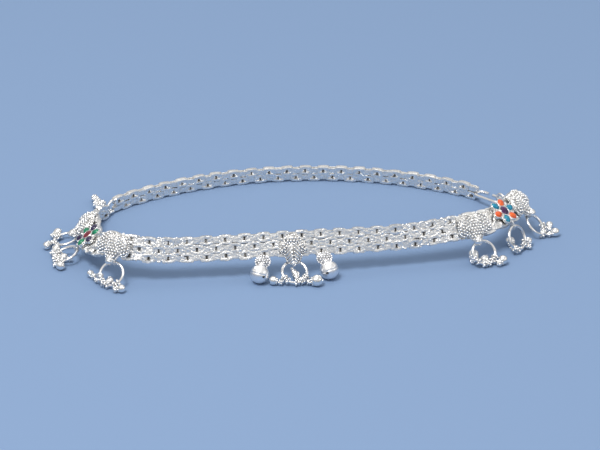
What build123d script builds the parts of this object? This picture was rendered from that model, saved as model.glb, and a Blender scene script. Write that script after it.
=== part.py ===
"""A silver payal anklet: a woven chain band with a leaf and two bells at its front, and on each side
an enamel flower between two leaves, with jump rings and bead drops below. It closes with a hook.

The frame: millimetres, +Z up, +X along the loop's long side, and the front run of the loop at -Y.
The origin is on the floor under the middle of the anklet's box.
"""

import os
from math import acos, cos, degrees, radians, sin

from build123d import *

os.makedirs("parts", exist_ok=True)

# ---------------------------------------------------------------- driving dimensions, mm and degrees
BAND_WIDTH = 7.0
BAND_THICKNESS = 1.8
END_WIDTH = 4.4
END_THICKNESS = 1.8
GAP = 0.15
SIDE_STANDOFF = 0.6
SECTION_STEP = 4.0

FRONT_CENTRE = (-4.66, -23.0)

RING_RADIUS = 3.2
RING_WIRE = 0.4
LOOP_RADIUS = 0.7
LOOP_WIRE = 0.2
STRAND_WIRE = 0.4
LINK_RING_RADIUS = 1.7

BELL_STATION = 8.1
BELL_SPLAY = 1.0
BELL_RADIUS = 2.5
BELL_WALL = 0.35
SLIT_WIDTH = 1.1

FRONT_SPLIT = 37.0
RIGHT_LEAF_STATION = 48.3
LEFT_LEAF_STATION = 46.2
FLOWER_STATION = 58.5
OUTER_LEAF_STATION = 67.2
SIDE_BAIL_SHIFT = 1.0
BAND_END = 71.0
END_CHAIN_START = BAND_END + GAP
EYE_STATION = 80.0
TASSEL_STATION = 86.0

PETALS = 6
PETAL_CIRCLE = 2.65
PETAL_LENGTH = 2.0
PETAL_WIDTH = 1.5
RIM = 0.25

# The plan of the loop from the front centre, as arcs: (length along the band, turn).
RIGHT_ARCS = [(34, 5), (8, 4), (8, 12), (8, 25), (8, 14), (10, 48), (20, 39.2)]
LEFT_ARCS = [(34, 2), (8, 17), (8, 31), (8, 36), (8, 8), (10, 14), (18, 45)]
BACK_ARC = (92.32, 59.8)
RIGHT_LENGTH = sum(length for length, turn in RIGHT_ARCS)
LEFT_LENGTH = sum(length for length, turn in LEFT_ARCS)
LOOP_LENGTH = RIGHT_LENGTH + BACK_ARC[0] + LEFT_LENGTH

# How the band stands along each half: (station, height of its middle, lean of its face from upright).
RIGHT_STANCE = [
    (0, 8.6, 22), (28, 8.2, 22), (46, 9.0, 30), (58, 8.6, 57), (67, 7.9, 47), (77, 4.2, 12), (84, 2.2, 0),
]
LEFT_STANCE = [
    (0, 8.6, 22), (28, 8.3, 22), (46, 9.1, 30), (58, 5.4, 56), (67, 4.9, 44), (76, 3.8, 12), (83, 2.2, 0),
]


# ---------------------------------------------------------------- the route of the band
def walk(arcs, distance):
    """The place and heading reached after a distance along arcs that start at (0, 0), heading +X."""
    x = y = heading = 0.0
    left = distance
    for length, turn in arcs:
        part = min(length, left)
        curl = radians(turn) / length
        after = heading + curl * part
        x += (sin(after) - sin(heading)) / curl
        y += (cos(heading) - cos(after)) / curl
        heading = after
        left -= part
        if left <= 0:
            break
    return x, y, heading


def plan(station):
    """(x, y, heading) of the band's middle. Stations run from the front centre, + to the right."""
    if station > RIGHT_LENGTH + BACK_ARC[0]:
        station -= LOOP_LENGTH
    if station >= 0:
        x, y, heading = walk(RIGHT_ARCS + [BACK_ARC], station)
    else:
        x, y, heading = walk(LEFT_ARCS, -station)
        x, heading = -x, -heading
    return FRONT_CENTRE[0] + x, FRONT_CENTRE[1] + y, heading


def stance(station):
    """(height, lean) of the band's middle, eased between the rows of the stance tables."""
    if station > RIGHT_LENGTH + BACK_ARC[0]:
        station -= LOOP_LENGTH
    rows = RIGHT_STANCE if station >= 0 else LEFT_STANCE
    reach = abs(station)
    if reach >= rows[-1][0]:
        return rows[-1][1:]
    for before, after in zip(rows, rows[1:]):
        if reach <= after[0]:
            share = (reach - before[0]) / (after[0] - before[0])
            share = share * share * (3 - 2 * share)
            height = before[1] + share * (after[1] - before[1])
            lean = before[2] + share * (after[2] - before[2])
            return height, lean


def middle(station):
    """The point on the band's middle line."""
    x, y, heading = plan(station)
    return Vector(x, y, stance(station)[0])


def face(station, up=0.0, out=0.0):
    """A plane on the band: x along it to the right, y up its face, z out of its front."""
    ahead = (middle(station + 0.5) - middle(station - 0.5)).normalized()
    heading = plan(station)[2]
    lean = radians(stance(station)[1])
    outward = Vector(sin(heading), -cos(heading), 0)
    raised = outward * cos(lean) + Vector(0, 0, 1) * sin(lean)
    normal = (raised - ahead * raised.dot(ahead)).normalized()
    upward = normal.cross(ahead)
    origin = middle(station) + upward * up + normal * out
    return Plane(origin=origin, x_dir=ahead, z_dir=normal)


def ground(station, along, outward, height):
    """The point beside a station: along the band, outward from it and above the floor."""
    x, y, heading = plan(station)
    ahead = Vector(cos(heading), sin(heading), 0)
    away = Vector(sin(heading), -cos(heading), 0)
    return Vector(x, y, height) + ahead * along + away * outward


def hanging(station, top, swing):
    """A plane at a point: x along the band, y up a piece that swings outward from upright."""
    heading = plan(station)[2]
    ahead = Vector(cos(heading), sin(heading), 0)
    away = Vector(sin(heading), -cos(heading), 0)
    normal = away * cos(radians(swing)) + Vector(0, 0, 1) * sin(radians(swing))
    return Plane(origin=top, x_dir=ahead, z_dir=normal)


def finish(name, part):
    """Labels a finished piece and writes it."""
    part.label = name
    export_step(part, f"parts/{name}.step")
    print(name, "volume", round(part.volume, 2), "solids", len(part.solids()))


# ---------------------------------------------------------------- chains
def chain_run(name, start, end, width, thickness):
    """One run of woven chain as its outer form: flat sections along the route, joined by straight rules."""
    count = max(2, round((end - start) / SECTION_STEP) + 1)
    with BuildPart() as run:
        for index in range(count):
            place = face(start + (end - start) * index / (count - 1))
            with BuildSketch(Plane(origin=place.origin, x_dir=place.y_dir, z_dir=place.x_dir)):
                Rectangle(width, thickness)
        loft(ruled=True)
    finish(name, run.part)


chain_run("front_chain", -FRONT_SPLIT, FRONT_SPLIT, BAND_WIDTH, BAND_THICKNESS)
chain_run("right_chain", FRONT_SPLIT + GAP, BAND_END, BAND_WIDTH, BAND_THICKNESS)
chain_run("left_chain", -BAND_END, -FRONT_SPLIT - GAP, BAND_WIDTH, BAND_THICKNESS)

LINK_RING_REACH = LINK_RING_RADIUS + RING_WIRE + GAP
HOOK_START = EYE_STATION + LINK_RING_RADIUS
HOOK_LENGTH = 8.0
HOOK_BEND = 1.5
HOOK_WIRE = 0.45
HOOK_END = HOOK_START + HOOK_LENGTH
BACK_START = HOOK_END + GAP
BACK_END = LOOP_LENGTH - TASSEL_STATION - LINK_RING_REACH
BACK_MIDDLE = (BACK_START + BACK_END) / 2
chain_run("right_end_chain", END_CHAIN_START, EYE_STATION - LINK_RING_REACH, END_WIDTH, END_THICKNESS)
chain_run("left_end_chain", -TASSEL_STATION + LINK_RING_REACH, -END_CHAIN_START, END_WIDTH, END_THICKNESS)
chain_run("back_chain_right", BACK_START, BACK_MIDDLE - GAP, END_WIDTH, END_THICKNESS)
chain_run("back_chain_left", BACK_MIDDLE, BACK_END, END_WIDTH, END_THICKNESS)
print("length of the whole loop", round(LOOP_LENGTH, 1))


# ---------------------------------------------------------------- jump rings
def swing_to_floor(top):
    """The angle from upright at which a ring hung at a point rests on the loops round its lowest wire."""
    return degrees(acos((top.Z - LOOP_RADIUS - LOOP_WIRE) / (2 * RING_RADIUS)))


def jump_ring(name, station, top):
    """A ring hung at a point, swung outward until it rests. Returns its hanging plane."""
    hang = hanging(station, top, swing_to_floor(top))
    with BuildPart() as ring:
        with Locations(Plane(origin=hang.origin - hang.y_dir * RING_RADIUS, z_dir=hang.z_dir)):
            Torus(RING_RADIUS, RING_WIRE)
    finish(name, ring.part)
    return hang


def ring_point(hang, angle):
    """The middle of a ring's wire, and the way the wire runs, at an angle from the ring's bottom."""
    turn = radians(angle)
    centre = hang.origin - hang.y_dir * RING_RADIUS
    point = centre + (hang.x_dir * sin(turn) - hang.y_dir * cos(turn)) * RING_RADIUS
    along = hang.x_dir * cos(turn) + hang.y_dir * sin(turn)
    return point, along


# ---------------------------------------------------------------- bead strands
def rod(start, end, radius):
    """A round rod from one point to another, in the block that is being built."""
    reach = end - start
    with Locations(Plane(origin=start, z_dir=reach)):
        Cylinder(radius, reach.length, align=(Align.CENTER, Align.CENTER, Align.MIN))


def bead(place, before, after, radius):
    """A round bead between two points of its strand. Its poles and seam keep clear of the strand's wire."""
    back = (before - place).normalized()
    ahead = (after - place).normalized()
    across = back.cross(ahead)
    if across.length < 0.01:
        across = ahead.cross(Vector(0, 0, 1))
    seam = (back + ahead) * -1
    if seam.length < 0.01:
        seam = ahead.cross(across)
    with Locations(Plane(origin=place, x_dir=seam, z_dir=across)):
        Sphere(radius)


def thread(places, radii, start):
    """Beads at places, joined by rods from a starting point, in the block that is being built."""
    points = [start] + places + [places[-1] * 2 - places[-2]]
    for before, after in zip(points, points[1:-1]):
        rod(before, after, STRAND_WIRE)
    for before, place, after, radius in zip(points, places, points[2:], radii):
        bead(place, before, after, radius)


def strand(name, station, hang, angle, beads):
    """A strand looped round a ring's wire. Beads are rows of (along, outward, height, radius)."""
    point, wire = ring_point(hang, angle)
    places = [ground(station, *row[:3]) for row in beads]
    lead = places[0] - point
    lead = (lead - wire * lead.dot(wire)).normalized()
    with BuildPart() as string:
        with Locations(Plane(origin=point, x_dir=lead * -1, z_dir=wire)):
            Torus(LOOP_RADIUS, LOOP_WIRE)
        thread(places, [row[3] for row in beads], point + lead * LOOP_RADIUS)
    finish(name, string.part)


# ---------------------------------------------------------------- leaves
BAIL_DROP = BAND_WIDTH / 2 + GAP + LOOP_RADIUS + LOOP_WIRE


def lobes(plane, width, height):
    """The outline of a leaf: a middle lobe, two side lobes and a bead at its tip.
    The plane's origin is the middle of the leaf's upper edge."""
    with BuildSketch(plane) as outline:
        with Locations((0, -0.52 * height)):
            Ellipse(0.24 * width, 0.42 * height)
        for side in (-1, 1):
            with Locations((side * 0.26 * width, -0.38 * height)):
                Ellipse(0.2 * width, 0.36 * height, rotation=side * 28)
        with Locations((0, -0.92 * height)):
            Circle(0.12 * width)
    return outline.sketch


def bail_leaf(name, station, width, height, thickness, top, standoff, shift=0.0):
    """A leaf before the band's front face, with a bail behind its tip. Returns the bail's centre.
    The bail is shifted along the band from the middle of the leaf."""
    bail = face(station + shift, up=-BAIL_DROP, out=standoff + 0.2)
    front = face(station, up=top, out=BAND_THICKNESS / 2 + standoff)
    with BuildPart() as leaf:
        extrude(lobes(front, width, height), amount=thickness)
        with Locations(Plane(origin=bail.origin, z_dir=bail.x_dir)):
            Torus(LOOP_RADIUS, LOOP_WIRE)
    finish(name, leaf.part)
    return bail.origin


# ---------------------------------------------------------------- the front motif
LEAF_WIDTH = 6.4
LEAF_HEIGHT = 8.0
LEAF_THICKNESS = 1.1
LEAF_TOP = 2.4

bail = bail_leaf("centre_leaf", 0, LEAF_WIDTH, LEAF_HEIGHT, LEAF_THICKNESS, LEAF_TOP, GAP)
hang = jump_ring("centre_ring", 0, bail)
strand("centre_strand_left", 0, hang, -52, [(-3.9, 6.6, 0.95, 0.9), (-5.7, 5.9, 1.2, 1.2)])
middle_beads = [(0.5, 5.0, 1.3, 1.15), (0.0, 3.5, 2.0, 0.85), (-0.4, 2.5, 2.5, 0.5)]
strand("centre_strand_middle", 0, hang, 12, middle_beads)
strand("centre_strand_right", 0, hang, 48, [(3.5, 7.4, 0.95, 0.9), (5.5, 7.9, 1.55, 1.55)])

ROSETTE_WIDTH = 4.3
ROSETTE_HEIGHT = 3.5
ROSETTE_THICKNESS = 1.0
BELL_SWING = 26


def bell(name, station):
    """A bell: a granulated rosette on the band's lower edge, a neck, and a hollow ball with a slit."""
    rosette = face(station, up=-BAND_WIDTH / 2 - 0.6, out=BAND_THICKNESS / 2 + GAP)
    neck_top = face(station, up=-BAND_WIDTH / 2 - 0.6, out=BAND_THICKNESS / 2 + GAP + ROSETTE_THICKNESS / 2)
    hang = hanging(station, neck_top.origin, BELL_SWING)
    drop = (neck_top.origin.Z - BELL_RADIUS) / cos(radians(BELL_SWING))
    splay = BELL_SPLAY if station > 0 else -BELL_SPLAY
    centre = hang.origin - hang.y_dir * drop + hang.x_dir * splay
    upward = (hang.origin - centre).normalized()
    neck = centre + upward * (BELL_RADIUS - BELL_WALL / 2)
    slit = Plane(origin=centre, x_dir=hang.x_dir, z_dir=hang.z_dir * 0.8 - hang.y_dir * 0.6)
    with BuildPart() as whole:
        with BuildSketch(rosette):
            Ellipse(ROSETTE_WIDTH / 2, ROSETTE_HEIGHT / 2)
        extrude(amount=ROSETTE_THICKNESS)
        rod(neck, hang.origin, ROSETTE_THICKNESS / 2)
        with Locations(Plane(origin=centre, x_dir=hang.z_dir * -1, z_dir=upward)):
            Sphere(BELL_RADIUS)
            Sphere(BELL_RADIUS - BELL_WALL, mode=Mode.SUBTRACT)
        with BuildSketch(slit):
            RegularPolygon(SLIT_WIDTH / 2, 3)
        extrude(amount=BELL_RADIUS + 1, mode=Mode.SUBTRACT)
    finish(name, whole.part)


bell("left_bell", -BELL_STATION)
bell("right_bell", BELL_STATION)


# ---------------------------------------------------------------- the side motifs
FLOWER_PLATE = 0.9
CUP_DEPTH = 0.35
ENAMEL_CLEARANCE = 0.04
CENTRE_RADIUS = 1.25
ARM_WIRE = 0.25


def petal_places(plane):
    """The planes of the six petals round a flower, each with x along its petal, outward."""
    places = []
    for number in range(PETALS):
        turn = radians(360 * number / PETALS)
        out = plane.x_dir * cos(turn) + plane.y_dir * sin(turn)
        places.append(Plane(origin=plane.origin + out * PETAL_CIRCLE, x_dir=out, z_dir=plane.z_dir))
    return places


def flower(side, station):
    """The silver setting of a flower, its six enamel petals and its centre. Returns its bail's centre."""
    back = face(station, out=BAND_THICKNESS / 2 + SIDE_STANDOFF)
    top = back.offset(FLOWER_PLATE)
    bail = face(station, up=-BAIL_DROP, out=0.6)
    arm_height = BAND_THICKNESS / 2 + SIDE_STANDOFF + 0.8 * ARM_WIRE
    arm_root = face(station, up=-PETAL_CIRCLE / 2, out=arm_height)
    arm_tip = face(station, up=-BAIL_DROP + LOOP_RADIUS, out=arm_height)
    with BuildPart() as setting:
        with BuildSketch(back):
            Circle(PETAL_CIRCLE)
        for place in petal_places(back):
            with BuildSketch(place):
                Ellipse(PETAL_LENGTH / 2 + RIM, PETAL_WIDTH / 2 + RIM)
        extrude(amount=FLOWER_PLATE)
        for place in petal_places(top):
            with BuildSketch(place):
                Ellipse(PETAL_LENGTH / 2, PETAL_WIDTH / 2)
        with BuildSketch(top):
            Circle(CENTRE_RADIUS)
        extrude(amount=-CUP_DEPTH, mode=Mode.SUBTRACT)
        rod(arm_root.origin, arm_tip.origin, ARM_WIRE)
        rod(arm_tip.origin, bail.origin + bail.z_dir * LOOP_RADIUS, ARM_WIRE)
        with Locations(arm_tip):
            Sphere(1.2 * ARM_WIRE)
        with Locations(Plane(origin=bail.origin, z_dir=bail.x_dir)):
            Torus(LOOP_RADIUS, LOOP_WIRE)
    finish(f"{side}_flower", setting.part)
    for number, place in enumerate(petal_places(top.offset(ENAMEL_CLEARANCE - CUP_DEPTH)), 1):
        with BuildPart() as petal:
            with BuildSketch(place):
                Ellipse(PETAL_LENGTH / 2 - ENAMEL_CLEARANCE, PETAL_WIDTH / 2 - ENAMEL_CLEARANCE)
            extrude(amount=CUP_DEPTH + 0.25)
        finish(f"{side}_petal_{number}", petal.part)
    with BuildPart() as centre:
        with BuildSketch(top.offset(ENAMEL_CLEARANCE - CUP_DEPTH)):
            Circle(CENTRE_RADIUS - ENAMEL_CLEARANCE)
        extrude(amount=CUP_DEPTH + 0.35)
    finish(f"{side}_flower_centre", centre.part)
    return bail.origin


SIDE_LEAF_WIDTH = 9.6
SIDE_LEAF_HEIGHT = 8.4
SIDE_LEAF_TOP = 3.3
OUTER_LEAF_WIDTH = 9.0
OUTER_LEAF_HEIGHT = 9.0
OUTER_LEAF_THICKNESS = 1.6
OUTER_LEAF_TOP = 3.6

# Strands of the side rings: (name, angle on the ring, beads). A bead is (along, beyond the ring's
# bottom, height, radius), with the ring's bottom at 0.
STRANDS = {
    "right_inner": [
        ("left", -62, [(-2.9, -3.1, 0.9, 0.85), (-1.6, -5.0, 1.5, 1.5)]),
        ("middle", -8, [(0.0, -1.95, 1.2, 1.2), (1.2, -3.3, 0.9, 0.85)]),
        ("right", 42, [(2.6, 1.3, 0.9, 0.85), (4.1, 0.6, 1.3, 1.3)]),
    ],
    "left_inner": [
        ("left", -62, [(-4.1, -1.5, 0.9, 0.85), (-5.6, -2.8, 1.0, 0.95), (-7.1, -3.8, 1.0, 1.0)]),
        ("middle", -15, [(-0.4, -1.9, 1.1, 1.1), (-1.2, -3.4, 0.9, 0.85)]),
        ("right", 42, [(2.7, 1.2, 0.9, 0.85), (4.1, 0.4, 1.1, 1.1)]),
    ],
    "right_flower": [
        ("left", -40, [(-0.8, -2.2, 0.9, 0.85), (1.1, -4.2, 1.35, 1.35)]),
        ("right", 40, [(2.4, 0.9, 0.9, 0.85), (4.2, -0.6, 1.2, 1.2)]),
    ],
    "left_flower": [
        ("left", -52, [(-3.4, 0.3, 0.9, 0.85), (-5.0, -0.9, 1.2, 1.2)]),
        ("middle", -8, [(0.2, -2.3, 1.2, 1.2), (0.8, -3.9, 0.9, 0.85)]),
        ("right", 48, [(3.2, 0.4, 0.9, 0.85), (4.6, -0.9, 1.2, 1.2)]),
    ],
    "right_outer": [
        ("left", -10, [(-0.3, 1.6, 0.9, 0.85), (0.8, 3.0, 1.2, 1.2)]),
        ("right", 45, [(2.9, 0.7, 0.9, 0.85), (4.4, 0.5, 1.1, 1.1)]),
    ],
    "left_outer": [
        ("left", -50, [(-3.3, 0.3, 0.9, 0.85), (-4.5, -0.9, 1.2, 1.2)]),
        ("right", 25, [(1.3, 1.4, 0.9, 0.85), (2.9, 1.7, 1.1, 1.1)]),
    ],
}


def drop_set(motif, station, bail):
    """A ring at a bail, and its strands lying on the floor round it."""
    hang = jump_ring(f"{motif}_ring", station, bail)
    bottom = ring_point(hang, 0)[0] - ground(station, 0, 0, 0)
    heading = plan(station)[2]
    reach = bottom.dot(Vector(sin(heading), -cos(heading), 0))
    for name, angle, beads in STRANDS[motif]:
        moved = [(along, outward + reach, height, radius) for along, outward, height, radius in beads]
        strand(f"{motif}_strand_{name}", station, hang, angle, moved)


SIDE_LEAF = (SIDE_LEAF_WIDTH, SIDE_LEAF_HEIGHT, LEAF_THICKNESS, SIDE_LEAF_TOP, SIDE_STANDOFF)
OUTER_LEAF = (OUTER_LEAF_WIDTH, OUTER_LEAF_HEIGHT, OUTER_LEAF_THICKNESS, OUTER_LEAF_TOP, SIDE_STANDOFF)
for side, sign, station in (("right", 1, RIGHT_LEAF_STATION), ("left", -1, -LEFT_LEAF_STATION)):
    bail = bail_leaf(f"{side}_inner_leaf", station, *SIDE_LEAF, shift=SIDE_BAIL_SHIFT)
    drop_set(f"{side}_inner", station + SIDE_BAIL_SHIFT, bail)
    bail = flower(side, sign * FLOWER_STATION)
    drop_set(f"{side}_flower", sign * FLOWER_STATION, bail)
    bail = bail_leaf(f"{side}_outer_leaf", sign * OUTER_LEAF_STATION, *OUTER_LEAF)
    drop_set(f"{side}_outer", sign * OUTER_LEAF_STATION, bail)


# ---------------------------------------------------------------- the tassel and the clasp
def link_ring(name, station):
    """A ring between two ends of chain, standing in the line of the chain."""
    place = face(station)
    with BuildPart() as ring:
        with Locations(place):
            Torus(LINK_RING_RADIUS, RING_WIRE)
    finish(name, ring.part)


link_ring("tassel_ring", -TASSEL_STATION)
link_ring("eye_ring", EYE_STATION)

# The tassel's beads, looped low on its ring: (along, outward, height, radius).
TASSEL_BEADS = [
    (1.2, 2.3, 1.1, 1.0),
    (0.2, 3.8, 1.2, 1.2),
    (-1.5, 4.6, 1.1, 1.1),
    (-0.1, 5.7, 1.1, 1.1),
    (-1.7, 6.8, 1.2, 1.2),
    (-2.8, 8.4, 1.1, 1.1),
]
tassel_turn = radians(50)
tassel_place = face(-TASSEL_STATION)
tassel_down = tassel_place.x_dir * sin(tassel_turn) - tassel_place.y_dir * cos(tassel_turn)
tassel_loop = tassel_place.origin + tassel_down * LINK_RING_RADIUS
with BuildPart() as tassel:
    with Locations(Plane(origin=tassel_loop, z_dir=tassel_place.z_dir.cross(tassel_down))):
        Torus(LOOP_RADIUS, LOOP_WIRE)
    places = [ground(-TASSEL_STATION, *row[:3]) for row in TASSEL_BEADS]
    thread(places, [row[3] for row in TASSEL_BEADS], tassel_loop + tassel_place.z_dir * LOOP_RADIUS)
finish("tassel", tassel.part)

hook_start = middle(HOOK_START)
hook_way = middle(HOOK_END) - hook_start
far_bend = hook_way.length - HOOK_BEND - HOOK_WIRE
lying = Plane(origin=hook_start, x_dir=hook_way, z_dir=hook_way.cross(hook_way.cross(Vector(0, 0, -1))))
with BuildPart() as hook:
    with BuildLine(lying) as bend:
        free_end = Line((0.5 * far_bend, -HOOK_BEND), (0, -HOOK_BEND))
        near_turn = TangentArc(free_end @ 1, (0, HOOK_BEND), tangent=free_end % 1)
        bar = Line(near_turn @ 1, (far_bend, HOOK_BEND))
        far_turn = TangentArc(bar @ 1, (far_bend, -HOOK_BEND), tangent=bar % 1)
        Line(far_turn @ 1, (0.75 * far_bend, -HOOK_BEND))
    with BuildSketch(Plane(origin=bend.line @ 0, z_dir=bend.line % 0)):
        Circle(HOOK_WIRE)
    sweep()
finish("hook", hook.part)
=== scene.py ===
# %% [markdown]
# # A silver payal
# A payal is an ankle chain: a wide woven band with ornaments soldered on its front and small bells
# and bead drops hung below. The frame that is loaded here holds every piece at its real size and
# place. This lesson gives each of them its finished form in metal and enamel.

# %% The frame
import random
from math import acos, atan2, ceil, cos, pi, radians, sin, sqrt

import bmesh
import bpy
from mathutils import Matrix, Vector


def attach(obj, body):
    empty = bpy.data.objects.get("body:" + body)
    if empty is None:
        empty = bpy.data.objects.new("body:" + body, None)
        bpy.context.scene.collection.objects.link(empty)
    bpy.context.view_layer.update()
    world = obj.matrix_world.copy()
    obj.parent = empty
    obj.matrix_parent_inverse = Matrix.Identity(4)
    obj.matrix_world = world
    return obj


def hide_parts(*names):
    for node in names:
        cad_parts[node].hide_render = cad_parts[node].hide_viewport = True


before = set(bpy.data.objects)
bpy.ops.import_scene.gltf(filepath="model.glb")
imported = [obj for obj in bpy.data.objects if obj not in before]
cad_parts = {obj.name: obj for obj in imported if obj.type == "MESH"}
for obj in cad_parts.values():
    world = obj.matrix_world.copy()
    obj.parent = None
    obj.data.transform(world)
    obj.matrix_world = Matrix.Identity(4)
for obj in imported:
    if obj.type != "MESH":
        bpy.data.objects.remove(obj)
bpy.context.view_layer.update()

# %% [markdown]
# ## Working large
# A medal maker carves a large model and has it reduced. The pieces here are a few millimetres
# across, so each master is modelled with one unit for each millimetre, and a copy is reduced to
# metres as it is put in its place. Bevels and merges then work with ordinary numbers.

# %% The workbench
TO_METRES = Matrix.Scale(0.001, 4)
UP = Vector((0, 0, 1))
random.seed(5)
masters = []


def clear_selection():
    """Object mode, with nothing selected."""
    if bpy.context.mode != "OBJECT":
        bpy.ops.object.mode_set(mode="OBJECT")
    bpy.ops.object.select_all(action="DESELECT")


def pick(kind, test):
    """In edit mode, selects the corners, edges or faces whose middle passes a test."""
    mesh = bpy.context.edit_object.data
    bpy.ops.mesh.select_mode(type=kind)
    bpy.ops.mesh.select_all(action="DESELECT")
    shape = bmesh.from_edit_mesh(mesh)
    for element in {"VERT": shape.verts, "EDGE": shape.edges, "FACE": shape.faces}[kind]:
        if kind == "VERT":
            middle_of = element.co
        elif kind == "EDGE":
            middle_of = (element.verts[0].co + element.verts[1].co) / 2
        else:
            middle_of = element.calc_center_median()
        if test(middle_of):
            element.select_set(True)
    shape.select_flush_mode()
    bmesh.update_edit_mesh(mesh)


def stretch(x, y, z, centre=(0, 0, 0)):
    """In edit mode, resizes what is selected about a centre."""
    bpy.ops.transform.resize(value=(x, y, z), center_override=centre)


def master(name, angle=60):
    """Names the shape that was just modelled as a master, shades it and adds it to the masters, which are
    removed at the end.
    """
    clear_selection()
    piece = bpy.context.view_layer.objects.active
    piece.select_set(True)
    bpy.ops.object.transform_apply(location=True, rotation=True, scale=True)
    bpy.ops.object.shade_smooth_by_angle(angle=radians(angle))
    piece.name = name
    masters.append(piece)
    print("master", name, "has", len(piece.data.polygons), "faces")
    return piece


def struck(model, place, size=(1, 1, 1)):
    """A copy of a master with its own mesh, reduced to metres and put in its place."""
    copy = bpy.data.objects.new(model.name, model.data.copy())
    copy.data.transform(TO_METRES @ place @ Matrix.Diagonal((*size, 1)))
    bpy.context.collection.objects.link(copy)
    return copy


def soldered(name, parts, material, slot, *nodes):
    """Joins parts into one finished piece, which stands for nodes of the frame. A part that has a
    material keeps it."""
    clear_selection()
    for part in parts:
        if not part.data.materials:
            part.data.materials.append(material)
        part.select_set(True)
    bpy.context.view_layer.objects.active = parts[0]
    if len(parts) > 1:
        bpy.ops.object.join()
    piece = parts[0]
    piece.name = name
    piece.data.name = name
    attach(piece, "root")
    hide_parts(*nodes)
    print(name, "has", sum(len(face.vertices) - 2 for face in piece.data.polygons), "triangles")
    return piece


def axes(origin, along, upward):
    """A place: x along, y upward, z out of both."""
    out = along.cross(upward)
    place = Matrix((along, upward, out)).transposed().to_4x4()
    place.translation = origin
    return place


def between(start, end, outward):
    """The place of a thing that lies between two points: x along it and z near outward."""
    along = (end - start).normalized()
    across = outward.cross(along).normalized()
    return axes((start + end) / 2, along, across)


def aimed(origin, way):
    """A place whose z points one way."""
    side = way.orthogonal().normalized()
    return axes(origin, side, way.normalized().cross(side))


def around(count, shift=0):
    """Angles spread evenly round a circle, from a share of a step past zero."""
    return [2 * pi * (number + shift) / count for number in range(count)]


def shifted(place, x=0.0, y=0.0, z=0.0):
    """A place moved along its own axes."""
    return place @ Matrix.Translation((x, y, z))


# %% [markdown]
# ## The route of the band
# The anklet lies as a closed loop. Seen from above, its middle line is a row of arcs that starts at
# the front leaf and runs both ways, and a long back arc closes it. The band stands on its lower
# edge, and its face leans back, most of all beside the flowers. Sizes here are in millimetres.

# %% The route
FRONT_CENTRE = Vector((-4.66, -23.0))
# Arcs are rows of (length, turn in degrees), outward from the front leaf.
RIGHT_ARCS = [(34, 5), (8, 4), (8, 12), (8, 25), (8, 14), (10, 48), (20, 39.2)]
LEFT_ARCS = [(34, 2), (8, 17), (8, 31), (8, 36), (8, 8), (10, 14), (18, 45)]
BACK_ARC = (92.32, 59.8)
# Stances are rows of (distance from the front leaf, height of the middle line, lean in degrees).
RIGHT_STANCE = [
    (0, 8.6, 22), (28, 8.2, 22), (46, 9.0, 30), (58, 8.6, 57),
    (67, 7.9, 47), (77, 4.2, 12), (84, 2.2, 0),
]
LEFT_STANCE = [
    (0, 8.6, 22), (28, 8.3, 22), (46, 9.1, 30), (58, 5.4, 56),
    (67, 4.9, 44), (76, 3.8, 12), (83, 2.2, 0),
]
RIGHT_LENGTH = sum(length for length, turn in RIGHT_ARCS)
LOOP_LENGTH = RIGHT_LENGTH + BACK_ARC[0] + sum(length for length, turn in LEFT_ARCS)


def walk(arcs, distance):
    """The place and heading after a distance along arcs that start at (0, 0), heading along X."""
    x = y = heading = 0.0
    left = distance
    for length, turn in arcs:
        part = min(length, left)
        curl = radians(turn) / length
        after = heading + curl * part
        x += (sin(after) - sin(heading)) / curl
        y += (cos(heading) - cos(after)) / curl
        heading = after
        left -= part
        if left <= 0:
            break
    return x, y, heading


def signed(station):
    """A station past the back arc, counted from the left instead."""
    return station - LOOP_LENGTH if station > RIGHT_LENGTH + BACK_ARC[0] else station


def plan(station):
    """(x, y, heading) of the band's middle. Stations run from the front centre, + to the right."""
    station = signed(station)
    if station >= 0:
        x, y, heading = walk(RIGHT_ARCS + [BACK_ARC], station)
    else:
        x, y, heading = walk(LEFT_ARCS, -station)
        x, heading = -x, -heading
    return FRONT_CENTRE.x + x, FRONT_CENTRE.y + y, heading


def stance(station):
    """(height, lean) of the band's middle."""
    station = signed(station)
    rows = RIGHT_STANCE if station >= 0 else LEFT_STANCE
    reach = abs(station)
    for before, after in zip(rows, rows[1:]):
        if reach <= after[0]:
            share = (reach - before[0]) / (after[0] - before[0])
            share = share * share * (3 - 2 * share)
            return tuple(b + share * (a - b) for b, a in zip(before[1:], after[1:]))
    return rows[-1][1:]


def middle(station):
    """The point on the band's middle line."""
    x, y = plan(station)[:2]
    return Vector((x, y, stance(station)[0]))


def ahead_and_away(station):
    """Along the floor beside a station: the way the band runs, and the way out of the loop."""
    heading = plan(station)[2]
    return Vector((cos(heading), sin(heading), 0)), Vector((sin(heading), -cos(heading), 0))


def face(station, up=0.0, out=0.0):
    """A place on the band: x along it to the right, y up its face, z out of its front."""
    ahead = (middle(station + 0.5) - middle(station - 0.5)).normalized()
    away = ahead_and_away(station)[1]
    lean = radians(stance(station)[1])
    raised = away * cos(lean) + UP * sin(lean)
    normal = (raised - ahead * raised.dot(ahead)).normalized()
    upward = normal.cross(ahead)
    return axes(middle(station) + upward * up + normal * out, ahead, upward)


def ground(station, along, outward, height):
    """The point beside a station: along the band, outward from it and above the floor."""
    x, y = plan(station)[:2]
    ahead, away = ahead_and_away(station)
    return Vector((x, y, height)) + ahead * along + away * outward


def hanging(station, top, swing):
    """A place at a point: x along the band, y up a piece that swings outward from upright."""
    ahead, away = ahead_and_away(station)
    normal = away * cos(radians(swing)) + UP * sin(radians(swing))
    return axes(top, ahead, normal.cross(ahead))


print("the loop is", round(LOOP_LENGTH, 1), "mm round")

# %% [markdown]
# ## The camera
# It looks down on the front of the loop from a little to its left, through a long lens, as one
# looks at a jewel laid on a table. It is made first, so that every later piece can be judged.

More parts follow.
